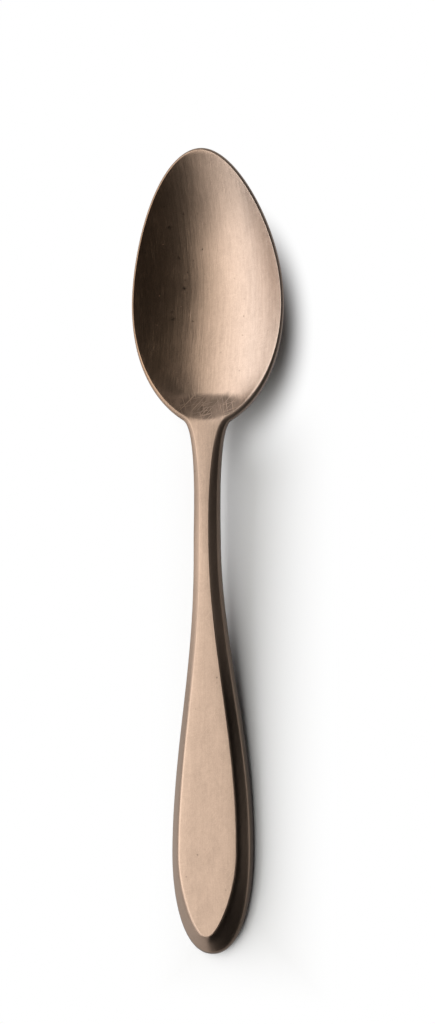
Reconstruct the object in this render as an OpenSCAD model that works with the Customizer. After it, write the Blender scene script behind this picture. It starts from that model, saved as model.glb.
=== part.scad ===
// Mocha spoon, forged in one piece from a thick metal blank.
// X runs across the spoon, Y along it towards the tip of the bowl, and Z up from the table that it lies on.
// The surface is one closed loft. Its rows follow the plan outline from the tip of the bowl to the end of
// the handle, and each row runs from the middle of the underside, round the edge, to the middle of the top.

/* [Overall] */
// Length from the tip of the bowl to the end of the handle
spoon_length = 115; // [108:0.5:126]

/* [Bowl in plan] */
// Width of the bowl at its widest
bowl_width = 22.7; // [20.5:0.1:25]
// Distance of the widest place from the tip
bowl_widest = 22; // [20.5:0.1:24]
// How far the tip runs straight across before it turns down the side
tip_spread = 5.7; // [5:0.1:6.4]
// Length of the upper side that runs nearly straight into the widest place
bowl_round = 9.8; // [7:0.1:11]
// Length of the lower side that runs nearly straight out of the widest place
bowl_heel = 9; // [8:0.1:12]

/* [Bowl from the side] */
// Height of the rim above the table at the tip
tip_height = 9.9; // [8:0.1:11]
// Depth of the hollow below the rim
bowl_depth = 4.8; // [4:0.1:5.2]
// Thickness of the bowl at its lowest place
bowl_wall = 1.3; // [1:0.05:1.8]
// Distance from the tip to the lowest place of the hollow
bowl_deepest = 20; // [19:0.1:24]
// Width of the lip round the hollow
lip_width = 0.04; // [0.03:0.01:0.15]
// Distance from the tip to the end of the hollow at the neck
hollow_length = 38.7; // [37:0.1:40]
// Distance from the hollow's end to the foot of its end wall
foot_inset = 3.6; // [2.8:0.1:4.4]
// Depth of the hollow at that foot
foot_depth = 2.2; // [1.8:0.1:3]

/* [Shoulder] */
// Distance from the tip to the shoulder, where the outline turns from round to hollow
shoulder_place = 38.7; // [38:0.1:40]
// Width across the shoulders there
shoulder_width = 7; // [6:0.1:8]
// Angle of the outline there, in degrees from straight across
shoulder_angle = 30; // [27:1:38]
// Length of the rounding above the shoulder
shoulder_round = 4.7; // [3.5:0.1:5.5]
// Length of the fillet from the shoulder into the neck
neck_fillet = 2.4; // [2:0.1:3.4]

/* [Neck] */
// Width of the neck at its narrowest
neck_width = 3.9; // [3.2:0.05:4.4]
// Distance from the tip to the narrowest place
neck_place = 56; // [50:0.5:58]
// Height of the neck's top above the table
neck_height = 6.5; // [6:0.05:7.5]
// Thickness of the neck from top to bottom
neck_thickness = 3.1; // [2.6:0.05:3.6]

/* [Handle] */
// Width of the handle at its widest
handle_width = 12; // [10.5:0.1:13.5]
// Distance from the end of the handle to its widest place
handle_widest = 14.6; // [13.5:0.1:15]
// Thickness of the handle at its widest place
handle_thickness = 3.4; // [3:0.1:4]
// Length over which the handle lies on the table
rest_length = 29; // [24:0.5:34]
// How far the end of the handle runs straight across before it turns up the side
nose_spread = 3.8; // [3.8:0.1:4.2]
// Length of the handle's side that runs nearly straight below the widest place
handle_round = 8.6; // [8.4:0.1:9]

/* [Edges] */
// Width of the bevel on the bowl's rim
rim_bevel = 0.22; // [0.1:0.01:0.4]
// Width of the bevel on the neck
neck_bevel = 1; // [0.5:0.05:1.1]
// Width of the bevel on the handle at its widest place
handle_bevel = 1.4; // [0.8:0.05:1.6]
// Width of the bevel at the end of the handle
nose_bevel = 2.3; // [1.4:0.05:2.3]
// How far the bevel drops on the bowl's rim
rim_drop = 0.24; // [0.12:0.01:0.4]
// How far the bevel drops on the neck
neck_drop = 0.75; // [0.3:0.05:0.9]
// How far the bevel drops on the handle
handle_drop = 1.6; // [0.8:0.05:1.8]
// How far the bevel drops at the end of the handle
nose_drop = 2; // [1.4:0.05:2.5]
// Height of the rim's side below its bevel
rim_wall = 0.35; // [0.3:0.05:0.8]
// Height of the neck's side below its bevel
neck_wall = 1; // [0.6:0.05:1.3]
// Height of the handle's side below its bevel
handle_wall = 1.3; // [0.8:0.05:1.5]
// How far the rim's side swells beyond the edge of its bevel
rim_swell = 0.06; // [0.04:0.01:0.2]
// How far the neck's and the handle's side swells beyond the edge of the bevel
side_swell = 0.2; // [0.05:0.05:0.3]
// How far the side at the end of the handle swells beyond the edge of its bevel
nose_swell = 0.3; // [0.1:0.05:0.3]
// How far the top of the neck falls from its middle to its edges
neck_crown = 0.3; // [0.1:0.05:0.5]
// How far the flat top of the handle falls close to its edges
handle_crown = 0.45; // [0.1:0.05:0.6]
// Width of the rounding under the handle's edge
under_round = 0.9; // [0.6:0.1:2]

/* [Hidden] */

// Places along the spoon, from the tip of the bowl to the end of the handle
tip_y = spoon_length / 2;
widest_y = tip_y - bowl_widest;
deepest_y = tip_y - bowl_deepest;
hollow_end_y = tip_y - hollow_length;
foot_y = hollow_end_y + foot_inset;
shoulder_y = tip_y - shoulder_place;
neck_y = tip_y - neck_place;
end_y = -spoon_length / 2;
handle_y = end_y + handle_widest;
rest_y = end_y + rest_length;

// Points of a cubic curve with ends a and d and handles b and c, and its direction
function curve(s, t) = pow(1 - t, 3) * s[0] + 3 * pow(1 - t, 2) * t * s[1]
    + 3 * (1 - t) * t * t * s[2] + pow(t, 3) * s[3];
function curve_dir(s, t) = pow(1 - t, 2) * (s[1] - s[0]) + 2 * (1 - t) * t * (s[2] - s[1])
    + t * t * (s[3] - s[2]);

// Fine table of a chain of curves, for reading one coordinate at the other
table_steps = 60;
function table(chain) = [for (s = chain, k = [0 : table_steps - 1]) curve(s, k / table_steps),
    chain[len(chain) - 1][3]];

function clamp(v, low, high) = min(max(v, low), high);
function ease(a, b, v) = let (t = clamp((v - a) / (b - a), 0, 1)) t * t * (3 - 2 * t);
function mix(a, b, t) = a + (b - a) * t;
// Smaller of two heights, with the corner between them rounded over a height r
function soft_min(a, b, r) = min(a, b) - pow(max(r - abs(a - b), 0), 2) / (4 * r);

// A size that changes along the spoon, given at the bowl, the neck, the handle and its end
function along(y, bowl, neck, handle, end) = y > neck_y ? mix(neck, bowl, ease(neck_y, widest_y, y))
    : y > handle_y ? mix(handle, neck, ease(handle_y, neck_y, y))
    : mix(end, handle, ease(end_y, handle_y, y));

// Plan outline of the right half
shoulder_dir = [cos(shoulder_angle), sin(shoulder_angle)];
shoulder_point = [shoulder_width / 2, shoulder_y];
neck_straight = 2.7;
neck_flare = 16.5;
handle_flare = 16;
outline = [
    [[0, tip_y], [tip_spread, tip_y], [bowl_width / 2, widest_y + bowl_round], [bowl_width / 2, widest_y]],
    [[bowl_width / 2, widest_y], [bowl_width / 2, widest_y - bowl_heel],
        shoulder_point + shoulder_round * shoulder_dir, shoulder_point],
    [shoulder_point, shoulder_point - neck_fillet * shoulder_dir,
        [neck_width / 2, neck_y + neck_straight], [neck_width / 2, neck_y]],
    [[neck_width / 2, neck_y], [neck_width / 2, neck_y - neck_flare],
        [handle_width / 2, handle_y + handle_flare], [handle_width / 2, handle_y]],
    [[handle_width / 2, handle_y], [handle_width / 2, handle_y - handle_round],
        [nose_spread, end_y], [0, end_y]]];

// The bowl rests on its lowest place, so its rim stands its depth and its wall above the table
rim_z = bowl_depth + bowl_wall;

// Side profile: the top, the middle of the underside and the floor of the hollow, as [y, height]
top_line = table([
    [[tip_y, tip_height], [tip_y - 8, tip_height - 1.6], [widest_y + 9, rim_z], [widest_y, rim_z]],
    [[widest_y, rim_z], [widest_y - 9, rim_z], [neck_y + 16, neck_height], [neck_y + 3, neck_height]],
    [[neck_y + 3, neck_height], [neck_y - 6, neck_height], [rest_y + 16, handle_thickness + 0.8],
        [rest_y - 6, handle_thickness + 0.1]],
    [[rest_y - 6, handle_thickness + 0.1], [rest_y - 14, handle_thickness - 0.05],
        [end_y + 8, handle_thickness], [end_y, handle_thickness]]]);
neck_under = neck_height - neck_thickness;
keel_line = table([
    [[tip_y, tip_height - rim_drop - rim_wall], [tip_y - 2.6, tip_height - 3.6],
        [deepest_y + 7, 0], [deepest_y, 0]],
    [[deepest_y, 0], [deepest_y - 8, 0],
        [hollow_end_y + 3, neck_under], [neck_y + 6, neck_under]],
    [[neck_y + 6, neck_under], [neck_y - 9, neck_under], [rest_y + 11, 0], [rest_y, 0]],
    [[rest_y, 0], [rest_y - 5, 0], [end_y + 5, 0], [end_y, 0]]]);
hollow_tip_y = tip_y - rim_bevel - rim_swell - lip_width;
foot_z = rim_z - foot_depth;
floor_line = table([
    [[hollow_tip_y, tip_height], [hollow_tip_y - 5, tip_height - 3.2],
        [deepest_y + 6, bowl_wall], [deepest_y, bowl_wall]],
    [[deepest_y, bowl_wall], [deepest_y - 4, bowl_wall], [foot_y + 3.5, foot_z - 0.45], [foot_y, foot_z]],
    [[foot_y, foot_z], [foot_y - 1, foot_z + 0.15],
        [hollow_end_y, foot_z + 0.5], [hollow_end_y - 2, foot_z + 0.8]]]);
function top_z(y) = lookup(y, top_line);
function keel_z(y) = lookup(y, keel_line);

// Edges along the outline
function bevel(y) = along(y, rim_bevel, neck_bevel, handle_bevel, nose_bevel);
nose_wall = 0.8;
function drop(y) = along(y, rim_drop, neck_drop, handle_drop, nose_drop);
function wall(y) = along(y, rim_wall, neck_wall, handle_wall, nose_wall);
function swell(y) = along(y, rim_swell, side_swell, side_swell, nose_swell);
function edge_z(y) = top_z(y) - drop(y) - wall(y);

// Squared half width of the outline, and of the hollow inside its lip
function inward(s, t) = let (d = curve_dir(s, t)) [d[1], -d[0]] / norm(d);
function inset_point(s, t) = let (p = curve(s, t)) p + inward(s, t) * (bevel(p[1]) + swell(p[1]) + lip_width);
outline_sq = [for (p = table(outline)) [p[1], p[0] * p[0]]];
hollow_sq = [for (s = outline, k = [0 : table_steps - 1])
    let (p = inset_point(s, k / table_steps)) [p[1], p[0] * p[0]]];
max_sq = pow(bowl_width / 2, 2);

// Section of a bowl: how deep it is at a share of the squared half width, steepest at the edge
section_power = 1.08;
section_soft = 0.06;
function fullness(v) = pow(max(v, 0) + section_soft, section_power) - pow(section_soft, section_power)
    + min(v, 0) * section_power * pow(section_soft, section_power - 1);
// The same at a place, as a share of the depth in the middle, for a bowl with these squared half widths
function section(x, square, breadth) = fullness(breadth * (square - x * x)) / fullness(breadth * square);

// Top surface: the flat of the handle and the lip, cut by the hollow
rim_fillet = 0.05;
function flat_z(x, y) = let (share = x * x / max(lookup(y, outline_sq), 0.5))
    top_z(y) - along(y, 0, neck_crown, handle_crown, handle_crown) * pow(share, along(y, 1, 1, 2.5, 2.5));
end_rise = foot_depth / foot_inset;
end_fullness = 0.85;
foot_round = 0.25;
function hollow_z(x, y) =
    let (near = min(y, hollow_tip_y - 0.5), past = max(y - hollow_tip_y, 0),
        square = lookup(y, hollow_sq) - past * 2 * tip_spread,
        depth = top_z(near) - lookup(near, floor_line),
        fall = fullness((square - x * x) / max_sq) / fullness(lookup(near, hollow_sq) / max_sq),
        end_wall = (y - hollow_end_y) * end_rise * (y > hollow_end_y ? pow(max(fall, 0), end_fullness) : 1))
    y < hollow_end_y - 2 ? top_z(y) + 5 :
    top_z(y) - soft_min(depth * fall, end_wall, foot_round * max(fall, 0.05));
function upper_z(x, y) = soft_min(flat_z(x, y), hollow_z(x, y), rim_fillet);
// The same with the bevel, at a given inset from the outline
function skin_z(x, y, inset) = soft_min(upper_z(x, y),
    top_z(y) - drop(y) + (inset - swell(y)) * drop(y) / bevel(y), 0.15 * drop(y));

// Underside: a bowl that turns into the handle's flat back with rounded edges
function back_round(y) = along(y, bowl_width / 2, neck_width / 2, under_round, under_round);
function under_z(x, y, inset, far) =
    let (r = clamp(1 - inset / min(back_round(y), far), 0, 1),
        square = max(lookup(y, outline_sq), 0.01),
        share = mix(sqrt(1 - r * r), section(x, square, 1 / max_sq), ease(neck_y + 12, hollow_end_y + 7, y)))
    mix(edge_z(y), keel_z(y), share);

// Rows of the loft, each from the middle of the underside to the middle of the top
row_counts = [16, 16, 11, 13, 14];
last = len(outline) - 1;
function row_t(k, i) = let (t = i / row_counts[k])
    k == 0 ? mix(t, t * t, 0.45) : k == last ? 1 - mix(1 - t, pow(1 - t, 2), 0.45) : t;
rows = [for (k = [0 : last], i = [0 : row_counts[k] - 1]) [outline[k], row_t(k, i)], [outline[last], 1]];

// Distance from the edge to the middle of the spoon, square to the outline
function reach(s, t) = let (u = clamp(t, 0.001, 0.999)) -curve(s, u)[0] / inward(s, u)[0];

// How far a row leans: square to the outline at the tip, and nearly straight across at the shoulder
function lean(y) = y > shoulder_y ? mix(0.25, 1, ease(shoulder_y + 2, tip_y, y))
    : mix(1, 0.25, ease(handle_y, shoulder_y + 2, y));
// Near the end of the handle it reaches in by less than the end's radius, so that no two rows cross
end_radius = 1.5 * nose_spread * nose_spread / (handle_widest - handle_round);
function middle(y, n, far) = [0, y + n[1] * (y < neck_y ? min(far, 0.82 * end_radius) : far) * lean(y)];

// Columns of each row, as shares or degrees of the part of the section that they describe
back_shares = [0, 0.3, 0.55, 0.78];
corner_angles = [0, 25, 45, 62, 77];
wall_angles = [0, 20, 40, 60];
bevel_shares = [0.45, 0.85, 1];
lip_shares = [0.5, 1, 1.6];
top_shares = [0.06, 0.14, 0.24, 0.36, 0.5, 0.66, 0.83, 1];
last_wall = wall_angles[len(wall_angles) - 1];
last_lip = lip_shares[len(lip_shares) - 1];

// One row: points on the section through the place t of the curve s of the outline
function row(s, t) =
    let (p = curve(s, t), n = inward(s, t), far = reach(s, t),
        mid = middle(p[1], n, far),
        corner = min(back_round(p[1]), 0.6 * far), b = bevel(p[1]), side = swell(p[1]),
        lip = p + n * (side + b + last_lip * lip_width), corner_point = p + n * corner)
    concat(
        [for (q = back_shares) let (v = mid + (corner_point - mid) * q)
            [v[0], v[1], under_z(v[0], v[1], mix(far, corner, q), far)]],
        [for (a = corner_angles) let (d = corner * (1 - sin(a)), v = p + n * d)
            [v[0], v[1], under_z(v[0], v[1], d, far)]],
        [for (a = wall_angles) let (v = p + n * side * (1 - cos(a)) / (1 - cos(last_wall)))
            [v[0], v[1], edge_z(v[1]) + wall(v[1]) * sin(a) / sin(last_wall)]],
        [for (q = bevel_shares) let (d = side + b * q, v = p + n * d)
            [v[0], v[1], skin_z(v[0], v[1], d)]],
        [for (q = lip_shares) let (d = side + b + lip_width * q, v = p + n * d)
            [v[0], v[1], skin_z(v[0], v[1], d)]],
        [for (q = top_shares) let (v = lip + (mid - lip) * q)
            [v[0], v[1], upper_z(v[0], v[1])]]);

// The right half's points, then the left half's, which shares those on the middle line
right = [for (r = rows) row(r[0], r[1])];
row_last = len(right) - 1;
col_last = len(right[0]) - 1;
left = [for (i = [1 : row_last - 1], j = [1 : col_last - 1]) let (v = right[i][j]) [-v[0], v[1], v[2]]];
spoon_points = concat([for (r = right, v = r) v], left);
function on_middle(i, j) = i == 0 || i == row_last || j == 0 || j == col_last;
function index(side, i, j) = side > 0 || on_middle(i, j) ? i * (col_last + 1) + j
    : (row_last + 1) * (col_last + 1) + (i - 1) * (col_last - 1) + j - 1;
// Two corners take the other diagonal, or a triangle there would lie in the middle plane with its mirror image
function turned(i, j) = (i == 0 && j == col_last - 1) || (i == row_last - 1 && j == 0);
spoon_faces = [for (side = [1, -1], i = [0 : row_last - 1], j = [0 : col_last - 1], half = [0, 1])
    let (a = index(side, i, j), b = index(side, i, j + 1),
        c = index(side, i + 1, j + 1), d = index(side, i + 1, j),
        corners = turned(i, j) ? (half == 0 ? [a, d, b] : [b, d, c]) : half == 0 ? [a, d, c] : [a, c, b])
    side > 0 ? corners : [corners[2], corners[1], corners[0]]];

module spoon() {
    color("#b9a08d") polyhedron(points = spoon_points, faces = spoon_faces, convexity = 6);
}

spoon();
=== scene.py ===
import math

import bpy
import numpy as np
from mathutils import Matrix, Vector


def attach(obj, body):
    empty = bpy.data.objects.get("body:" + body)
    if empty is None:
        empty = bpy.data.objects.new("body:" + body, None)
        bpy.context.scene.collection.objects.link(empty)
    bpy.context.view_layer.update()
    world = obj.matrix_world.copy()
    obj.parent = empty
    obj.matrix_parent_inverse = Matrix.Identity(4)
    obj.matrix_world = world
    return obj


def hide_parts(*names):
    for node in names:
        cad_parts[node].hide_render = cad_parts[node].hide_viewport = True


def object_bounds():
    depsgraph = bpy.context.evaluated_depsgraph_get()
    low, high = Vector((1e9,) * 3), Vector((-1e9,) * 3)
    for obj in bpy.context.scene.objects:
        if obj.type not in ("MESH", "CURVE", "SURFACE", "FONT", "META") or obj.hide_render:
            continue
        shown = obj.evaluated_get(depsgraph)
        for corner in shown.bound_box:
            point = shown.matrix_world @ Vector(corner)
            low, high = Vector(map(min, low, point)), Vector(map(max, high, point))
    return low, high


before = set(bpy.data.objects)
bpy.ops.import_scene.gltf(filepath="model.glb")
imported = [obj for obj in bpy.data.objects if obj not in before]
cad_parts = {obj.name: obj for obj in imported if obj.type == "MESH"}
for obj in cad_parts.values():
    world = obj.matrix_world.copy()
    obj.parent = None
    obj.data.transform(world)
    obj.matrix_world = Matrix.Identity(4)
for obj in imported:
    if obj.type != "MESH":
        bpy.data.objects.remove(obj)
cad_low, cad_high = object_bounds()

# The spoon: one stainless steel blank, forged thick in the neck and the handle and pressed thin in the bowl.
# Its rim and its handle are then ground with bevels, and the whole is brushed, coated bronze and tumbled,
# which leaves it satin, with fine scratches and a few spots.
mm = 0.001
# The bowl in plan: its width, where it is widest from the tip, and how full its outline is at tip and sides
bowl_width = 22.7 * mm
bowl_widest = 22 * mm
tip_spread = 5.7 * mm
bowl_round = 9.8 * mm
bowl_heel = 9 * mm
# The bowl from the side: the height of its tip, the depth of its hollow and the narrow flat lip round it. Its
# deepest place and the hollow's end are measured from the tip
tip_height = 9.9 * mm
bowl_depth = 4.8 * mm
bowl_wall = 1.3 * mm
bowl_deepest = 20 * mm
lip_width = 0.04 * mm
hollow_length = 38.7 * mm
# The hollow's end wall: how far its foot lies from the hollow's end, and how deep
foot_inset = 3.6 * mm
foot_depth = 2.2 * mm
foot_round = 0.25 * mm
end_fullness = 0.85
# The shoulder, where the outline turns from round to hollow, and the neck, both placed from the tip
shoulder_place = 38.7 * mm
shoulder_width = 7 * mm
shoulder_angle = math.radians(30)
shoulder_round = 4.7 * mm
neck_fillet = 2.4 * mm
neck_width = 3.9 * mm
neck_place = 56 * mm
neck_height = 6.5 * mm
neck_thickness = 3.1 * mm
neck_straight = 2.7 * mm
neck_flare = 16.5 * mm
# The handle: its widest place is measured from its end, and so is the length that lies on the table
handle_width = 12 * mm
handle_widest = 14.6 * mm
handle_thickness = 3.4 * mm
handle_flare = 16 * mm
handle_round = 8.6 * mm
nose_spread = 3.8 * mm
rest_length = 29 * mm
# Width and drop of the bevel, the rounding of its upper edge, the height and swell of the side below it, and
# the fall of the flat top towards its edges: on the bowl, the neck, the handle and the handle's end
bevels = [0.22 * mm, 1 * mm, 1.4 * mm, 2.3 * mm]
drops = [0.24 * mm, 0.75 * mm, 1.6 * mm, 2 * mm]
edge_rounds = [0.06 * mm, 0.36 * mm, 0.4 * mm, 0.5 * mm]
walls = [0.35 * mm, 1 * mm, 1.3 * mm, 0.8 * mm]
swells = [0.06 * mm, 0.2 * mm, 0.2 * mm, 0.3 * mm]
crowns = [0, 0.3 * mm, 0.45 * mm, 0.45 * mm]
crown_powers = [1, 1, 2.5, 2.5]
under_round = 0.9 * mm
rim_fillet = 0.05 * mm

tip_y = cad_high.y
end_y = cad_low.y
widest_y = tip_y - bowl_widest
deepest_y = tip_y - bowl_deepest
hollow_end_y = tip_y - hollow_length
foot_y = hollow_end_y + foot_inset
shoulder_y = tip_y - shoulder_place
neck_y = tip_y - neck_place
handle_y = end_y + handle_widest
rest_y = end_y + rest_length
rim_z = bowl_depth + bowl_wall
foot_z = rim_z - foot_depth
neck_under = neck_height - neck_thickness
# Where the neck's round underside starts to turn into the bowl's back, and where it has become that
back_start_y = neck_y + 12 * mm
back_full_y = hollow_end_y + 7 * mm
# Where a table reads each of its curves
curve_shares = [k / 120 for k in range(120)]


def curve(span, t):
    a, b, c, d = np.array(span)
    return (1 - t) ** 3 * a + 3 * (1 - t) ** 2 * t * b + 3 * (1 - t) * t * t * c + t**3 * d


def curve_direction(span, t):
    a, b, c, d = np.array(span)
    return (1 - t) ** 2 * (b - a) + 2 * (1 - t) * t * (c - b) + t * t * (d - c)


def table(spans):
    """Points along a chain of curves, from the tip to the end of the handle."""
    return np.array([curve(s, t) for s in spans for t in curve_shares] + [spans[-1][3]])


def read(points, y):
    """The height or squared width that a table gives at y. A table runs towards lower y."""
    return float(np.interp(y, points[::-1, 0], points[::-1, 1]))


def clamp(value, low, high):
    return min(max(value, low), high)


def ease(a, b, value):
    t = clamp((value - a) / (b - a), 0, 1)
    return t * t * (3 - 2 * t)


def mix(a, b, t):
    return a + (b - a) * t


def soft_min(a, b, size):
    """The smaller of two heights, with the corner between them rounded."""
    return min(a, b) - max(size - abs(a - b), 0) ** 2 / (4 * size)


def along(y, sizes):
    """A size that changes along the spoon, given at the bowl, the neck, the handle and its end."""
    bowl, neck, handle, end = sizes
    if y > neck_y:
        return mix(neck, bowl, ease(neck_y, widest_y, y))
    if y > handle_y:
        return mix(handle, neck, ease(handle_y, neck_y, y))
    return mix(end, handle, ease(end_y, handle_y, y))


# The outline of the right half in plan, and the lines of the top, the underside and the hollow's floor from
# the side. Each is a chain of curves with two ends and two handles
shoulder_point = np.array([shoulder_width / 2, shoulder_y])
shoulder_direction = np.array([math.cos(shoulder_angle), math.sin(shoulder_angle)])
half_bowl, half_neck, half_handle = bowl_width / 2, neck_width / 2, handle_width / 2
outline = [
    [(0, tip_y), (tip_spread, tip_y), (half_bowl, widest_y + bowl_round), (half_bowl, widest_y)],
    [(half_bowl, widest_y), (half_bowl, widest_y - bowl_heel),
     shoulder_point + shoulder_round * shoulder_direction, shoulder_point],
    [shoulder_point, shoulder_point - neck_fillet * shoulder_direction,
     (half_neck, neck_y + neck_straight), (half_neck, neck_y)],
    [(half_neck, neck_y), (half_neck, neck_y - neck_flare),
     (half_handle, handle_y + handle_flare), (half_handle, handle_y)],
    [(half_handle, handle_y), (half_handle, handle_y - handle_round), (nose_spread, end_y), (0, end_y)],
]
top_line = table([
    [(tip_y, tip_height), (tip_y - 8 * mm, tip_height - 1.6 * mm),
     (widest_y + 9 * mm, rim_z), (widest_y, rim_z)],
    [(widest_y, rim_z), (widest_y - 9 * mm, rim_z),
     (neck_y + 16 * mm, neck_height), (neck_y + 3 * mm, neck_height)],
    [(neck_y + 3 * mm, neck_height), (neck_y - 6 * mm, neck_height),
     (rest_y + 16 * mm, handle_thickness + 0.8 * mm), (rest_y - 6 * mm, handle_thickness + 0.1 * mm)],
    [(rest_y - 6 * mm, handle_thickness + 0.1 * mm), (rest_y - 14 * mm, handle_thickness - 0.05 * mm),
     (end_y + 8 * mm, handle_thickness), (end_y, handle_thickness)],
])
keel_line = table([
    [(tip_y, tip_height - drops[0] - walls[0]), (tip_y - 2.6 * mm, tip_height - 3.6 * mm),
     (deepest_y + 7 * mm, 0), (deepest_y, 0)],
    [(deepest_y, 0), (deepest_y - 8 * mm, 0),
     (hollow_end_y + 3 * mm, neck_under), (neck_y + 6 * mm, neck_under)],
    [(neck_y + 6 * mm, neck_under), (neck_y - 9 * mm, neck_under), (rest_y + 11 * mm, 0), (rest_y, 0)],
    [(rest_y, 0), (rest_y - 5 * mm, 0), (end_y + 5 * mm, 0), (end_y, 0)],
])
hollow_tip_y = tip_y - bevels[0] - swells[0] - lip_width
floor_end_y = hollow_end_y - 2 * mm
floor_line = table([
    [(hollow_tip_y, tip_height), (hollow_tip_y - 5 * mm, tip_height - 3.2 * mm),
     (deepest_y + 6 * mm, bowl_wall), (deepest_y, bowl_wall)],
    [(deepest_y, bowl_wall), (deepest_y - 4 * mm, bowl_wall),
     (foot_y + 3.5 * mm, foot_z - 0.45 * mm), (foot_y, foot_z)],
    [(foot_y, foot_z), (foot_y - 1 * mm, foot_z + 0.15 * mm),
     (hollow_end_y, foot_z + 0.5 * mm), (floor_end_y, foot_z + 0.8 * mm)],
])
end_rise = foot_depth / foot_inset


def inward(span, t):
    x, y = curve_direction(span, t)
    return np.array([y, -x]) / math.hypot(x, y)


def inset_point(span, t):
    x, y = curve(span, t)
    return (x, y) + inward(span, t) * (along(y, bevels) + along(y, swells) + lip_width)


def squared_width(points):
    return np.array([(y, x * x) for x, y in points])


outline_squares = squared_width(table(outline))
hollow_squares = squared_width([inset_point(s, t) for s in outline for t in curve_shares])
largest_square = half_bowl**2
# The bowl's cross section is close to a parabola, whose power and softness at the rim these set
section_power = 1.08
section_soft = 0.06
clear_above = 5 * mm
tip_margin = 0.5 * mm


def fullness(v):
    """How deep a bowl is at a share of the squared half width, steepest at the edge."""
    lift = section_soft**section_power
    below_edge = min(v, 0) * section_power * lift / section_soft
    return (max(v, 0) + section_soft) ** section_power - lift + below_edge


def section(x, square, breadth):
    return fullness(breadth * (square - x * x)) / fullness(breadth * square)


def flat_z(x, y):
    share = x * x / max(read(outline_squares, y), 0.5 * mm * mm)
    return read(top_line, y) - along(y, crowns) * share ** along(y, crown_powers)


def hollow_z(x, y):
    """The hollow, whose end wall rises from a foot line straight across the bowl to the neck's flat top.

    Past its end it lies clear above the top, and at the tip it keeps the depth from just inside the rim.
    """
    if y < floor_end_y:
        return read(top_line, y) + clear_above
    near = min(y, hollow_tip_y - tip_margin)
    past = max(y - hollow_tip_y, 0)
    square = read(hollow_squares, y) - past * 2 * tip_spread
    deepest = read(top_line, near) - read(floor_line, near)
    fall = fullness((square - x * x) / largest_square) / fullness(read(hollow_squares, near) / largest_square)
    wall = (y - hollow_end_y) * end_rise * (max(fall, 0) ** end_fullness if y > hollow_end_y else 1)
    return read(top_line, y) - soft_min(deepest * fall, wall, foot_round * max(fall, 0.05))


def upper_z(x, y):
    return soft_min(flat_z(x, y), hollow_z(x, y), rim_fillet)


def skin_z(x, y, inset):
    """The top with its bevel, at a place that lies inset from the spoon's outline."""
    drop = along(y, drops)
    ramp = read(top_line, y) - drop + (inset - along(y, swells)) * drop / along(y, bevels)
    return soft_min(upper_z(x, y), ramp, along(y, edge_rounds))


def edge_z(y):
    return read(top_line, y) - along(y, drops) - along(y, walls)


def back_round(y):
    return along(y, [half_bowl, half_neck, under_round, under_round])


def under_z(x, y, inset, far):
    """The underside: round under the neck, rounded along the edges of the handle, and full under the bowl."""
    r = clamp(1 - inset / min(back_round(y), far), 0, 1)
    square = max(read(outline_squares, y), 0.01 * mm * mm)
    bowl_share = ease(back_start_y, back_full_y, y)
    share = mix(math.sqrt(1 - r * r), section(x, square, 1 / largest_square), bowl_share)
    return mix(edge_z(y), read(keel_line, y), share)


def reach(span, t):
    """Distance from the edge to the middle of the spoon, square to the outline."""
    t = clamp(t, 0.001, 0.999)
    return -curve(span, t)[0] / inward(span, t)[0]


least_lean = 0.25
least_lean_y = shoulder_y + 2 * mm


def lean(y):
    """How far a section's middle follows the outline's slant: fully at both ends, less at the shoulder."""
    if y > shoulder_y:
        return mix(least_lean, 1, ease(least_lean_y, tip_y, y))
    return mix(1, least_lean, ease(handle_y, least_lean_y, y))


# The radius of the outline at the end of the handle, and how much of it a section may reach in from the edge,
# so that no rows cross there
end_radius = 1.5 * nose_spread**2 / (handle_widest - handle_round)
end_reach = 0.82 * end_radius
corner_share = 0.6
# How many rows each curve of the outline takes, and how the points are spread over one row
span_rows = [40, 40, 28, 34, 34]
back_shares = np.linspace(0, 0.875, 8)
corner_angles = np.radians([0, 14, 27, 39, 50, 60, 69, 77])
wall_angles = np.radians([0, 12, 24, 36, 48, 60])
bevel_shares = [0.2, 0.45, 0.68, 0.88, 1]
lip_shares = [0.3, 0.6, 1, 1.4, 1.9]
top_shares = np.linspace(0, 1, 23)[1:] ** 1.25


def row(span, t):
    """Points of one section, from the middle of the underside round the edge to the middle of the top."""
    edge, inwards, far = curve(span, t), inward(span, t), reach(span, t)
    edge_y = edge[1]
    bevel, swell = along(edge_y, bevels), along(edge_y, swells)
    step = min(far, end_reach) if edge_y < neck_y else far
    middle = np.array([0, edge_y + inwards[1] * step * lean(edge_y)])
    corner = min(back_round(edge_y), corner_share * far)
    points = []
    for share in back_shares:
        x, y = mix(middle, edge + inwards * corner, share)
        points.append((x, y, under_z(x, y, mix(far, corner, share), far)))
    for angle in corner_angles:
        inset = corner * (1 - math.sin(angle))
        x, y = edge + inwards * inset
        points.append((x, y, under_z(x, y, inset, far)))
    for angle in wall_angles:
        x, y = edge + inwards * swell * (1 - math.cos(angle)) / (1 - math.cos(wall_angles[-1]))
        rise = math.sin(angle) / math.sin(wall_angles[-1])
        points.append((x, y, edge_z(y) + along(y, walls) * rise))
    insets = [swell + bevel * share for share in bevel_shares]
    insets += [swell + bevel + lip_width * share for share in lip_shares]
    for inset in insets:
        x, y = edge + inwards * inset
        points.append((x, y, skin_z(x, y, inset)))
    lip = edge + inwards * insets[-1]
    for share in top_shares:
        x, y = mix(lip, middle, share)
        points.append((x, y, upper_z(x, y)))
    return points


def row_place(k, t):
    """Rows lie closer together towards the tip and towards the end of the handle."""
    if k == 0:
        return mix(t, t * t, 0.45)
    if k == len(outline) - 1:
        return 1 - mix(1 - t, (1 - t) ** 2, 0.45)
    return t


rows = [row(outline[k], row_place(k, i / count)) for k, count in enumerate(span_rows) for i in range(count)]
rows.append(row(outline[-1], 1))
rail_points = np.array(rows).transpose(1, 0, 2)
rail_count, station_count = rail_points.shape[:2]

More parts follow.
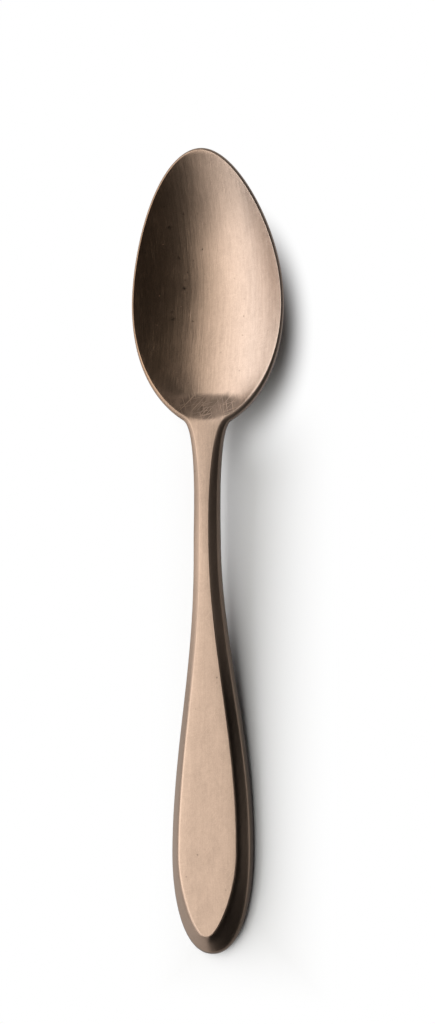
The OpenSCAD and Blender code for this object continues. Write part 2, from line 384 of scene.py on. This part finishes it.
# Rails: the lines that the loft follows, each from the tip of the bowl to the end of the handle. Every point
# carries its distance past the bevel's upper edge as its radius, and past the bevel's lower edge as its tilt
rails_curve = bpy.data.curves.new("spoon_rails", "CURVE")
rails_curve.dimensions = "3D"
steps = np.linalg.norm(np.diff(rail_points, axis=0, prepend=rail_points[:1]), axis=2)
girth = np.cumsum(steps, axis=0)
side_rail = len(back_shares) + len(corner_angles) + len(wall_angles) - 1
top_rail = side_rail + len(bevel_shares)
for points, past_top, past_side in zip(rail_points, girth - girth[top_rail], girth - girth[side_rail]):
    spline = rails_curve.splines.new("POLY")
    spline.points.add(station_count - 1)
    spline.points.foreach_set("co", np.hstack([points, np.ones((station_count, 1))]).ravel())
    spline.points.foreach_set("radius", past_top)
    spline.points.foreach_set("tilt", past_side)
rails = bpy.data.objects.new("spoon_rails", rails_curve)
bpy.context.scene.collection.objects.link(rails)


def add_node(tree, kind, inputs=None, **settings):
    """Adds a node with its settings, and sets or links its inputs by name or number."""
    node = tree.nodes.new(kind)
    for name, value in settings.items():
        setattr(node, name, value)
    for name, value in (inputs or {}).items():
        if isinstance(value, bpy.types.NodeSocket):
            tree.links.new(value, node.inputs[name])
        else:
            node.inputs[name].default_value = value
    return node


def linear(code):
    """A colour written as sRGB hex, as the linear colour that a shader takes."""
    parts = [int(code[i : i + 2], 16) / 255 for i in (1, 3, 5)]
    return [p / 12.92 if p <= 0.04045 else ((p + 0.055) / 1.055) ** 2.4 for p in parts] + [1]


# Stainless steel, brushed along the spoon and coated bronze: a satin metal that smears the light across the
# brushing, with fine lengthwise streaks. The handle's bevels and sides are ground smoother and mirror the
# room more sharply. A real brush mark is about 0.03 mm wide, and the finest here is drawn 0.1 mm wide to show
bronze = bpy.data.materials.new("brushed_bronze_coated_steel")
bronze.use_nodes = True
tree = bronze.node_tree
tree.nodes.clear()
place = add_node(tree, "ShaderNodeTexCoord").outputs["Object"]
place_parts = add_node(tree, "ShaderNodeSeparateXYZ", {"Vector": place}).outputs
across, along_y = place_parts["X"], place_parts["Y"]
past_top = add_node(tree, "ShaderNodeAttribute", attribute_name="past_top_edge").outputs["Fac"]
past_side = add_node(tree, "ShaderNodeAttribute", attribute_name="past_side_edge").outputs["Fac"]
# The ground part is all below the top's edge, the brushed part is the flat top and the hollow. The relief of
# the brushing fades out on the last half millimetre before that edge
ground = add_node(tree, "ShaderNodeMapRange", {
    "Value": past_top, "From Min": -0.06 * mm, "From Max": 0.02 * mm, "To Min": 1, "To Max": 0
}).outputs["Result"]
near_ground = add_node(tree, "ShaderNodeMapRange", {
    "Value": past_top, "From Min": -0.1 * mm, "From Max": 0.5 * mm, "To Min": 1, "To Max": 0
}).outputs["Result"]
brushed = add_node(tree, "ShaderNodeMath", {0: 1, 1: ground}, operation="SUBTRACT").outputs[0]
# On the brushed part a pattern is the same at every height, so the streaks run on over the bowl's slopes
keep_height = add_node(tree, "ShaderNodeCombineXYZ", {"X": 1, "Y": 1, "Z": ground}).outputs["Vector"]
lying = add_node(tree, "ShaderNodeVectorMath", {
    0: place, 1: keep_height}, operation="MULTIPLY").outputs["Vector"]
# Streaks of the brushing, fine and broad, the cloudy tone of the coating between them, and its small grain:
# each with its width, its length and its detail
layers = {}
for name, width, length, detail in [("fine", 0.15 * mm, 3 * mm, 2), ("broad", 0.5 * mm, 9 * mm, 2),
                                    ("hair", 0.1 * mm, 1.6 * mm, 1), ("cloud", 2 * mm, 3.5 * mm, 4),
                                    ("mottle", 0.55 * mm, 0.7 * mm, 3), ("grain", 0.17 * mm, 0.2 * mm, 3)]:
    stretched = add_node(tree, "ShaderNodeVectorMath", {
        0: lying, 1: (1 / width, 1 / length, 1 / width)}, operation="MULTIPLY").outputs["Vector"]
    layers[name] = add_node(tree, "ShaderNodeTexNoise", {
        "Vector": stretched, "Scale": 1, "Detail": detail, "Roughness": 0.6}).outputs["Fac"]
# The handle is worn smoother by hands, so its streaks are fainter than the bowl's
streaky = add_node(tree, "ShaderNodeMapRange", {
    "Value": along_y, "From Min": -12 * mm, "From Max": 14 * mm, "To Min": 0.4, "To Max": 0.78
}).outputs["Result"]
tone = 0
for name, amount, weight in [("fine", 0.07, streaky), ("broad", 0.05, streaky), ("cloud", 0.07, 1),
                             ("mottle", 0.05, 1), ("grain", 0.07, 1)]:
    shift = add_node(tree, "ShaderNodeMapRange", {
        "Value": layers[name], "From Min": 0.3, "From Max": 0.7, "To Min": -amount, "To Max": amount
    }).outputs["Result"]
    tone = add_node(tree, "ShaderNodeMath", {
        0: shift, 1: weight, 2: tone}, operation="MULTIPLY_ADD").outputs[0]
# Hairlines of the brushing that cut through the coating, thick in some places and few in others
hair_line = add_node(tree, "ShaderNodeMapRange", {
    "Value": layers["hair"], "From Min": 0.56, "From Max": 0.66}).outputs["Result"]
hair_patch = add_node(tree, "ShaderNodeMapRange", {
    "Value": layers["cloud"], "From Min": 0.4, "From Max": 0.62}).outputs["Result"]
hair = add_node(tree, "ShaderNodeMath", {0: hair_line, 1: hair_patch}, operation="MULTIPLY").outputs[0]
# Slanting scratches, where tools and other cutlery have rubbed: the angle, width and length of each set
scratches = 0
for turn, width, length in [(0.65, 0.13 * mm, 4.5 * mm), (-0.4, 0.12 * mm, 4 * mm),
                            (1.3, 0.12 * mm, 3.5 * mm)]:
    turned_place = add_node(tree, "ShaderNodeVectorRotate", {
        "Vector": lying, "Angle": turn}, rotation_type="Z_AXIS").outputs["Vector"]
    stretched = add_node(tree, "ShaderNodeVectorMath", {
        0: turned_place, 1: (1 / width, 1 / length, 1 / width)}, operation="MULTIPLY").outputs["Vector"]
    rubbed = add_node(tree, "ShaderNodeTexNoise", {
        "Vector": stretched, "Scale": 1, "Detail": 0}).outputs["Fac"]
    line = add_node(tree, "ShaderNodeMapRange", {
        "Value": rubbed, "From Min": 0.66, "From Max": 0.73}).outputs["Result"]
    scratches = add_node(tree, "ShaderNodeMath", {0: scratches, 1: line}, operation="MAXIMUM").outputs[0]
scratch_patch = add_node(tree, "ShaderNodeMapRange", {
    "Value": layers["cloud"], "From Min": 0.62, "From Max": 0.4}).outputs["Result"]
scratches = add_node(tree, "ShaderNodeMath", {
    0: scratches, 1: scratch_patch}, operation="MULTIPLY").outputs[0]
# Stains on the brushed part: where each lies across and along and its radius, in millimetres, and how dark it
# is. The last few, with a value below 0, are bright nicks
stains = 0
for x, y, radius, depth in [(-1.8, 43.4, 0.22, 0.7), (-3.8, 48.3, 0.2, 0.5), (-5.9, 46.4, 0.38, 0.5),
                            (-5.1, 42.1, 0.3, 0.5), (-3.2, 41.8, 0.16, 0.5), (-4.1, 40.1, 0.2, 0.6),
                            (-4.6, 37.8, 0.3, 0.9), (-4.4, 39.0, 0.18, 0.5), (-5.9, 33.4, 0.4, 0.5),
                            (-3.3, 33.1, 0.22, 0.55), (-6.15, 34.4, 0.3, 0.4), (4.4, 31.1, 0.2, 0.35),
                            (1.1, 28.6, 0.22, 0.25), (-1.1, -5.5, 0.17, 0.4), (-7.0, 44.0, 0.12, -2),
                            (-7.8, 36.7, 0.12, -2), (-5.0, 35.2, 0.11, -1.4), (-8.0, 32.5, 0.12, -2)]:
    spot_radius = radius * mm
    offset = add_node(tree, "ShaderNodeVectorMath", {
        0: place, 1: (x * mm, y * mm, 0)}, operation="SUBTRACT").outputs["Vector"]
    offset = add_node(tree, "ShaderNodeVectorMath", {
        0: offset, 1: (1, 1, 0)}, operation="MULTIPLY").outputs["Vector"]
    distance = add_node(tree, "ShaderNodeVectorMath", {0: offset}, operation="LENGTH").outputs["Value"]
    ragged = add_node(tree, "ShaderNodeMath", {
        0: layers["grain"], 1: 2.6 * spot_radius, 2: distance}, operation="MULTIPLY_ADD").outputs[0]
    spot = add_node(tree, "ShaderNodeMapRange", {
        "Value": ragged, "From Min": 1.2 * spot_radius, "From Max": 2.5 * spot_radius,
        "To Min": depth, "To Max": 0
    }, interpolation_type="SMOOTHSTEP").outputs["Result"]
    stains = add_node(tree, "ShaderNodeMath", {0: stains, 1: spot}, operation="ADD").outputs[0]
stains = add_node(tree, "ShaderNodeMath", {0: stains, 1: brushed}, operation="MULTIPLY").outputs[0]
# Pinpricks left by the tumbling, strewn over every side about 1.5 mm apart
cells = add_node(tree, "ShaderNodeTexVoronoi", {"Vector": place, "Scale": 1 / (1.5 * mm)}).outputs
chance = add_node(tree, "ShaderNodeSeparateXYZ", {"Vector": cells["Color"]}).outputs["X"]
picked = add_node(tree, "ShaderNodeMapRange", {
    "Value": chance, "From Min": 0.6, "From Max": 1, "To Min": 0, "To Max": 0.4}).outputs["Result"]
prick = add_node(tree, "ShaderNodeMapRange", {
    "Value": cells["Distance"], "From Min": 0.05, "From Max": 0.13, "To Min": 1, "To Max": 0
}).outputs["Result"]
stains = add_node(tree, "ShaderNodeMath", {
    0: prick, 1: picked, 2: stains}, operation="MULTIPLY_ADD").outputs[0]
# The wheel that brushes the bowl doesn't reach its end wall: the coating stays dark there, with bright
# scratches
ragged_y = add_node(tree, "ShaderNodeMath", {
    0: layers["cloud"], 1: 1.6 * mm, 2: along_y}, operation="MULTIPLY_ADD").outputs[0]
above_end = add_node(tree, "ShaderNodeMapRange", {
    "Value": ragged_y, "From Min": hollow_end_y + 0.7 * mm, "From Max": hollow_end_y + 1.7 * mm
}).outputs["Result"]
below_foot = add_node(tree, "ShaderNodeMapRange", {
    "Value": ragged_y, "From Min": foot_y + 0.2 * mm, "From Max": foot_y + 1.3 * mm, "To Min": 1, "To Max": 0
}).outputs["Result"]
end_patch = brushed
for share in [above_end, below_foot]:
    end_patch = add_node(tree, "ShaderNodeMath", {0: end_patch, 1: share}, operation="MULTIPLY").outputs[0]
scratch_light = add_node(tree, "ShaderNodeMath", {
    0: end_patch, 1: 1.1, 2: 0.09}, operation="MULTIPLY_ADD").outputs[0]
patch_depth = add_node(tree, "ShaderNodeMapRange", {
    "Value": layers["cloud"], "From Min": 0.35, "From Max": 0.65, "To Min": -0.5, "To Max": -0.15
}).outputs["Result"]
patch_dark = add_node(tree, "ShaderNodeMath", {
    0: end_patch, 1: patch_depth, 2: 1}, operation="MULTIPLY_ADD").outputs[0]
# The ground sides are painted darker, most of all below the bevel and on the handle: painted shade, for the
# shadowed floor that they mirror
wall_painted_shade = add_node(tree, "ShaderNodeMapRange", {
    "Value": along_y, "From Min": -30 * mm, "From Max": -8 * mm, "To Min": 0.28, "To Max": 0.46
}).outputs["Result"]
side_painted_shade = add_node(tree, "ShaderNodeMapRange", {
    "Value": past_side, "From Min": -0.12 * mm, "From Max": -0.02 * mm, "To Min": wall_painted_shade, "To Max": 0.76
}).outputs["Result"]
sides_painted_shade = add_node(tree, "ShaderNodeMix", {0: ground, 2: 1, 3: side_painted_shade}, data_type="FLOAT").outputs[0]
# The metal is painted a little darker at the top of the neck, just below the shoulder: painted shade, for the
# dimmer light that it mirrors there
from_shoulder = add_node(tree, "ShaderNodeMath", {0: along_y, 1: 13 * mm}, operation="SUBTRACT").outputs[0]
from_shoulder = add_node(tree, "ShaderNodeMath", {0: from_shoulder}, operation="ABSOLUTE").outputs[0]
neck_painted_shade = add_node(tree, "ShaderNodeMapRange", {
    "Value": from_shoulder, "From Min": 5 * mm, "From Max": 13 * mm, "To Min": 0.86, "To Max": 1
}).outputs["Result"]
stain_dark = add_node(tree, "ShaderNodeMath", {0: 1, 1: stains}, operation="SUBTRACT").outputs[0]
# Each of these lightens or darkens the bronze
tone_share = add_node(tree, "ShaderNodeMath", {0: ground, 1: -0.5, 2: 1}, operation="MULTIPLY_ADD").outputs[0]
tone = add_node(tree, "ShaderNodeMath", {0: tone, 1: tone_share}, operation="MULTIPLY").outputs[0]
for mark, light in [(scratches, scratch_light), (hair, 0.07)]:
    tone = add_node(tree, "ShaderNodeMath", {0: mark, 1: light, 2: tone}, operation="MULTIPLY_ADD").outputs[0]
tint = add_node(tree, "ShaderNodeMath", {0: 1, 1: tone}, operation="ADD").outputs[0]
# The neck's and the sides' darkening among these is painted shade
for share in [patch_dark, stain_dark, neck_painted_shade, sides_painted_shade]:
    tint = add_node(tree, "ShaderNodeMath", {0: tint, 1: share}, operation="MULTIPLY").outputs[0]
# The bronze is painted browner on the left of the bowl, which mirrors the dark room, and paler on its right,
# which mirrors the soft box, and in between elsewhere: a painted tint of shade and light
bowl_painted_light_tint = add_node(tree, "ShaderNodeMapRange", {
    "Value": across, "From Min": -7 * mm, "From Max": 6 * mm}).outputs["Result"]
in_bowl = add_node(tree, "ShaderNodeMapRange", {
    "Value": along_y, "From Min": 12 * mm, "From Max": 26 * mm}).outputs["Result"]
painted_light_tint = add_node(tree, "ShaderNodeMix", {
    0: in_bowl, 2: 0.6, 3: bowl_painted_light_tint}, data_type="FLOAT").outputs[0]
bronze_with_painted_tint = add_node(tree, "ShaderNodeMix", {
    "Factor": painted_light_tint, 6: linear("#9e826b"), 7: linear("#a39184")}, data_type="RGBA").outputs[2]
colour = add_node(tree, "ShaderNodeVectorMath", {
    0: bronze_with_painted_tint, "Scale": tint}, operation="SCALE").outputs["Vector"]
# The handle's bevels are polished, the neck's and the bowl's are duller, and scratches dull the metal further
ground_roughness = add_node(tree, "ShaderNodeMapRange", {
    "Value": along_y, "From Min": -22 * mm, "From Max": -12 * mm, "To Min": 0.28, "To Max": 0.44
}).outputs["Result"]
roughness = add_node(tree, "ShaderNodeMapRange", {
    "Value": ground, "From Min": 0, "From Max": 1, "To Min": 0.36, "To Max": ground_roughness
}).outputs["Result"]
for mark, dull in [(hair, 0.07), (end_patch, 0.12)]:
    roughness = add_node(tree, "ShaderNodeMath", {
        0: mark, 1: dull, 2: roughness}, operation="MULTIPLY_ADD").outputs[0]
relief_height = layers["fine"]
for mark, height in [(layers["broad"], 2), (hair, -0.35), (layers["grain"], 0.5)]:
    relief_height = add_node(tree, "ShaderNodeMath", {
        0: mark, 1: height, 2: relief_height}, operation="MULTIPLY_ADD").outputs[0]
relief_strength = add_node(tree, "ShaderNodeMath", {
    0: near_ground, 1: -0.85, 2: 1}, operation="MULTIPLY_ADD").outputs[0]
relief_strength = add_node(tree, "ShaderNodeMath", {
    0: relief_strength, 1: streaky}, operation="MULTIPLY").outputs[0]
relief = add_node(tree, "ShaderNodeBump", {
    "Height": relief_height, "Strength": relief_strength, "Distance": 0.0145 * mm}).outputs["Normal"]
across_grain = add_node(tree, "ShaderNodeVectorTransform", {"Vector": (1, 0, 0)}, vector_type="VECTOR",
                        convert_from="OBJECT", convert_to="WORLD").outputs["Vector"]
shader = add_node(tree, "ShaderNodeBsdfPrincipled", {
    "Base Color": colour, "Metallic": 1, "Roughness": roughness, "Anisotropic": 0.3, "Tangent": across_grain,
    "Normal": relief})
add_node(tree, "ShaderNodeOutputMaterial", {"Surface": shader.outputs["BSDF"]})

# The loft takes the rails' points onto a grid, mirrors that half and closes the two along the middle
loft = bpy.data.node_groups.new("spoon_loft", "GeometryNodeTree")
for name, kind, value in [("Geometry", "NodeSocketGeometry", None), ("Rails", "NodeSocketObject", None),
                          ("Rail Count", "NodeSocketInt", rail_count),
                          ("Station Count", "NodeSocketInt", station_count),
                          ("Seam Gap", "NodeSocketFloat", 0.0005 * mm),
                          ("Rounding Level", "NodeSocketInt", 1), ("Finish", "NodeSocketMaterial", None)]:
    socket = loft.interface.new_socket(name, in_out="INPUT", socket_type=kind)
    if value is not None:
        socket.default_value = value
loft.interface.new_socket("Geometry", in_out="OUTPUT", socket_type="NodeSocketGeometry")
given = add_node(loft, "NodeGroupInput").outputs
rails_in = add_node(loft, "GeometryNodeObjectInfo", {"Object": given["Rails"]}).outputs["Geometry"]
grid = add_node(loft, "GeometryNodeMeshGrid", {
    "Vertices X": given["Rail Count"], "Vertices Y": given["Station Count"]}).outputs["Mesh"]
order = add_node(loft, "GeometryNodeInputIndex").outputs["Index"]
point_place = add_node(loft, "GeometryNodeInputPosition").outputs["Position"]
rail_place = add_node(loft, "GeometryNodeSampleIndex", {
    "Geometry": rails_in, "Value": point_place, "Index": order
}, data_type="FLOAT_VECTOR", domain="POINT").outputs["Value"]
half = add_node(loft, "GeometryNodeSetPosition", {
    "Geometry": grid, "Position": rail_place}).outputs["Geometry"]
for name, kind in [("past_top_edge", "GeometryNodeInputRadius"),
                   ("past_side_edge", "GeometryNodeInputCurveTilt")]:
    carried = add_node(loft, kind).outputs[0]
    measured = add_node(loft, "GeometryNodeSampleIndex", {
        "Geometry": rails_in, "Value": carried, "Index": order
    }, data_type="FLOAT", domain="POINT").outputs["Value"]
    half = add_node(loft, "GeometryNodeStoreNamedAttribute", {
        "Geometry": half, "Name": name, "Value": measured
    }, data_type="FLOAT", domain="POINT").outputs["Geometry"]
mirrored = add_node(loft, "GeometryNodeTransform", {
    "Geometry": half, "Scale": (-1, 1, 1)}).outputs["Geometry"]
other_half = add_node(loft, "GeometryNodeFlipFaces", {"Mesh": mirrored}).outputs["Mesh"]
both = add_node(loft, "GeometryNodeJoinGeometry", {"Geometry": half})
loft.links.new(other_half, both.inputs["Geometry"])
closed = add_node(loft, "GeometryNodeMergeByDistance", {
    "Geometry": both.outputs["Geometry"], "Distance": given["Seam Gap"]}).outputs["Geometry"]
rounded = add_node(loft, "GeometryNodeSubdivisionSurface", {
    "Mesh": closed, "Level": given["Rounding Level"]}).outputs["Mesh"]
smooth = add_node(loft, "GeometryNodeSetShadeSmooth", {
    "Geometry": rounded, "Shade Smooth": True}).outputs["Geometry"]
real = add_node(loft, "GeometryNodeRealizeInstances", {"Geometry": smooth}).outputs["Geometry"]
finished = add_node(loft, "GeometryNodeSetMaterial", {
    "Geometry": real, "Material": given["Finish"]}).outputs["Geometry"]
add_node(loft, "NodeGroupOutput", {"Geometry": finished})

spoon = bpy.data.objects.new("spoon_body", bpy.data.meshes.new("spoon_body"))
bpy.context.scene.collection.objects.link(spoon)
lofting = spoon.modifiers.new("Loft", "NODES")
lofting.node_group = loft
sockets = {item.name: item.identifier for item in loft.interface.items_tree if item.in_out == "INPUT"}
lofting[sockets["Rails"]] = rails
lofting[sockets["Finish"]] = bronze
evaluated = spoon.evaluated_get(bpy.context.evaluated_depsgraph_get())
spoon_mesh = bpy.data.meshes.new_from_object(evaluated)
spoon.modifiers.clear()
spoon.data = spoon_mesh
bpy.data.objects.remove(rails)
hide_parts("spoon")
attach(spoon, "root")

# The floor: a pale sheet of matt card that the spoon lies on. Close to the spoon it stays matt and keeps the
# shadow, and further off the camera and the metal see it glow white: painted light that whitens the sheet and
# cuts the shadow short, as in a bright product picture.
sheet_reach = 6
sheet_drop = 0.02 * mm
floor_mesh = bpy.data.meshes.new("floor")
sheet_corners = [(-1, -1), (1, -1), (1, 1), (-1, 1)]
floor_mesh.from_pydata([(x * sheet_reach, y * sheet_reach, -sheet_drop) for x, y in sheet_corners], [],
                       [(0, 1, 2, 3)])
floor = bpy.data.objects.new("floor", floor_mesh)
bpy.context.scene.collection.objects.link(floor)
card = bpy.data.materials.new("matt_white_card")
card.use_nodes = True
tree = card.node_tree
tree.nodes.clear()
diffuse = add_node(tree, "ShaderNodeBsdfDiffuse", {"Color": linear("#f2f2f2")})
place = add_node(tree, "ShaderNodeTexCoord").outputs["Object"]
place_parts = add_node(tree, "ShaderNodeSeparateXYZ", {"Vector": place}).outputs
across, along_y = place_parts["X"], place_parts["Y"]
# The bowl's shadow is kept inside an oval
oval_middle = (2 * mm, 31.5 * mm, 0)
oval_half_width = 10.5 * mm
oval_half_length = 17 * mm
from_oval = add_node(tree, "ShaderNodeVectorMath", {
    0: place, 1: oval_middle}, operation="SUBTRACT").outputs["Vector"]
in_ovals = add_node(tree, "ShaderNodeVectorMath", {
    0: from_oval, 1: (1 / oval_half_width, 1 / oval_half_length, 0)}, operation="MULTIPLY").outputs["Vector"]
oval_distance = add_node(tree, "ShaderNodeVectorMath", {0: in_ovals}, operation="LENGTH").outputs["Value"]
past_bowl = add_node(tree, "ShaderNodeMapRange", {
    "Value": oval_distance, "From Min": 0.72, "From Max": 1.18
}, interpolation_type="SMOOTHSTEP").outputs["Result"]
# The shadow of the handle and the neck is kept inside strips along them: a wide one for its soft edge, and a
# narrow one for its dark part close to the metal
strips = []
for middle, inner, outer in [(4 * mm, 2.5 * mm, 14 * mm), (1 * mm, 1.5 * mm, 5 * mm)]:
    aside = add_node(tree, "ShaderNodeMath", {0: across, 1: middle}, operation="SUBTRACT").outputs[0]
    aside = add_node(tree, "ShaderNodeMath", {0: aside}, operation="ABSOLUTE").outputs[0]
    strips.append(add_node(tree, "ShaderNodeMapRange", {
        "Value": aside, "From Min": inner, "From Max": outer
    }, interpolation_type="SMOOTHSTEP").outputs["Result"])
past_handle, past_neck = strips
# Where along the spoon the oval takes over from the wide strip, where the narrow strip ends, and where the
# shadow ends past the handle
stretches = []
for start, end in [(10 * mm, 23 * mm), (20 * mm, 26 * mm), (-53 * mm, -65 * mm)]:
    stretches.append(add_node(tree, "ShaderNodeMapRange", {
        "Value": along_y, "From Min": start, "From Max": end
    }, interpolation_type="SMOOTHSTEP").outputs["Result"])
at_bowl, past_shoulder, past_end = stretches
painted_glow = add_node(tree, "ShaderNodeMix", {
    0: at_bowl, 2: past_handle, 3: past_bowl}, data_type="FLOAT").outputs[0]
past_neck = add_node(tree, "ShaderNodeMath", {0: past_neck, 1: past_shoulder}, operation="MAXIMUM").outputs[0]
painted_glow = add_node(tree, "ShaderNodeMath", {0: painted_glow, 1: past_neck}, operation="MULTIPLY").outputs[0]
painted_glow = add_node(tree, "ShaderNodeMath", {0: painted_glow, 1: past_end}, operation="MAXIMUM").outputs[0]
ray = add_node(tree, "ShaderNodeLightPath").outputs
seen = add_node(tree, "ShaderNodeMath", {
    0: ray["Is Camera Ray"], 1: ray["Is Glossy Ray"]}, operation="ADD").outputs[0]
seen = add_node(tree, "ShaderNodeMath", {0: seen, 1: ray["Is Transmission Ray"]}, operation="ADD").outputs[0]
white_share = add_node(tree, "ShaderNodeMath", {
    0: seen, 1: painted_glow}, operation="MULTIPLY", use_clamp=True).outputs[0]
white = add_node(tree, "ShaderNodeEmission", {"Color": linear("#ffffff"), "Strength": 1})
sheet = add_node(tree, "ShaderNodeMixShader", {
    0: white_share, 1: diffuse.outputs["BSDF"], 2: white.outputs["Emission"]})
add_node(tree, "ShaderNodeOutputMaterial", {"Surface": sheet.outputs["Shader"]})
floor_mesh.materials.append(card)

# The light: a wide soft box over the left side, a dimmer one overhead, and dim cards past both ends.
# The soft boxes follow one arc over the spoon, each between two angles from straight up
box_distance = 0.92
box_length = 1.85
tip_shift = Vector((0, 0.08, 0))


def add_lamp(name, position, width, length, radiance, colour):
    """Adds a soft box that faces the origin and then stands a little further towards the tip."""
    outwards = Vector(position).normalized()
    sideways = Vector((0, 1, 0)).cross(outwards).normalized()
    data = bpy.data.lights.new(name, "AREA")
    data.shape = "RECTANGLE"
    data.size = width
    data.size_y = length
    data.energy = radiance * math.pi * width * length
    data.color = linear(colour)[:3]
    lamp = bpy.data.objects.new(name, data)
    lamp.matrix_world = Matrix.Translation(Vector(position) + tip_shift) @ Matrix(
        (sideways, outwards.cross(sideways), outwards)).transposed().to_4x4()
    bpy.context.scene.collection.objects.link(lamp)


for name, low_angle, high_angle, radiance, colour in [
        ("side_softbox", 83, 31, 3.0, "#ffffff"), ("top_softbox", 31, -2.5, 1.8, "#fffefb")]:
    middle_angle = math.radians(low_angle + high_angle) / 2
    box_width = 2 * box_distance * math.tan(math.radians(low_angle - high_angle) / 2)
    box_place = (-box_distance * math.sin(middle_angle), 0, box_distance * math.cos(middle_angle))
    add_lamp(name, box_place, box_width, box_length, radiance, colour)
add_lamp("near_card", (-0.5, -1.05, 0.3), 1.0, 0.5, 0.8, "#ffffff")
add_lamp("far_card", (0, 0.98, 0.42), 1.8, 0.7, 0.4, "#ffffff")
room_strength = 0.006
world = bpy.data.worlds.new("dim_room")
world.use_nodes = True
world.node_tree.nodes["Background"].inputs["Color"].default_value = linear("#ffffff")
world.node_tree.nodes["Background"].inputs["Strength"].default_value = room_strength
bpy.context.scene.world = world

# The camera: a long lens above the spoon and a little to its right, turned slightly about its line of sight.
# Its place and its lens are fitted to the spoon's outline in the picture.
camera_tilt = math.radians(17.5)
camera_roll = math.radians(0.51)
camera_distance = 0.9
frame_height = 146.8 * mm
camera_target = Vector((-0.024, 5.836, 0)) * mm
camera_data = bpy.data.cameras.new("camera")
camera_data.sensor_width = 36
camera_data.lens = camera_data.sensor_width * camera_distance / frame_height
camera_data.clip_start = 0.05
camera = bpy.data.objects.new("camera", camera_data)
back = Vector((math.sin(camera_tilt), 0, math.cos(camera_tilt)))
up = Vector((0, 1, 0))
right = up.cross(back)
turned_right = math.cos(camera_roll) * right + math.sin(camera_roll) * up
turned_up = math.cos(camera_roll) * up - math.sin(camera_roll) * right
camera.matrix_world = Matrix.Translation(camera_target + back * camera_distance) @ Matrix(
    (turned_right, turned_up, back)).transposed().to_4x4()
bpy.context.scene.collection.objects.link(camera)
bpy.context.scene.camera = camera
bpy.context.scene.view_settings.view_transform = "Standard"
